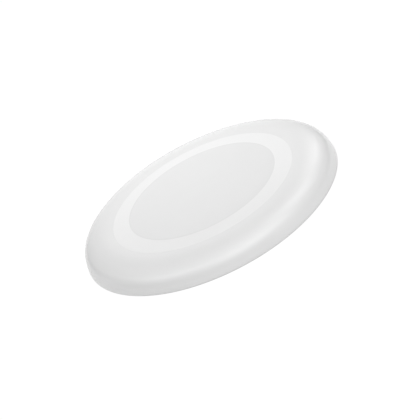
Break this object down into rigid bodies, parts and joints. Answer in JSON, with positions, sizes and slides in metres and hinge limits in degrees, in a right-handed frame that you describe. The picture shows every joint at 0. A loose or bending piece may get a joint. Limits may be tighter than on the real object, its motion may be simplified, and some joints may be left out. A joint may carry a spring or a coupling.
{
  "type": "flying disc",
  "caption": "Round white throwing disc: shallow flight plate with a gently crowned centre field, a bright ring band one fine step lower, and a turned-down hollow rim with a rounded lip.",
  "frame": {"origin": "on the disc's axis, level with the bottom of the lip, so the disc stands crown up on a surface at z = 0", "axes": "+Z is the disc's axis of symmetry and points up through the crown; X and Y lie in the plane of the lip"},
  "size_m": [0.23, 0.23, 0.02],
  "materials": {
    "plate_plastic": "satin moulded plastic with a fine even grain, white",
    "band_plastic": "smoother and brighter white plastic, soft gloss",
    "rim_plastic": "satin moulded plastic, white, a little smoother than the centre field"
  },
  "bodies": {
    "root": {"flight_plate": "plate_plastic", "ring_band": "band_plastic", "rim": "rim_plastic"}
  },
  "joints": []
}
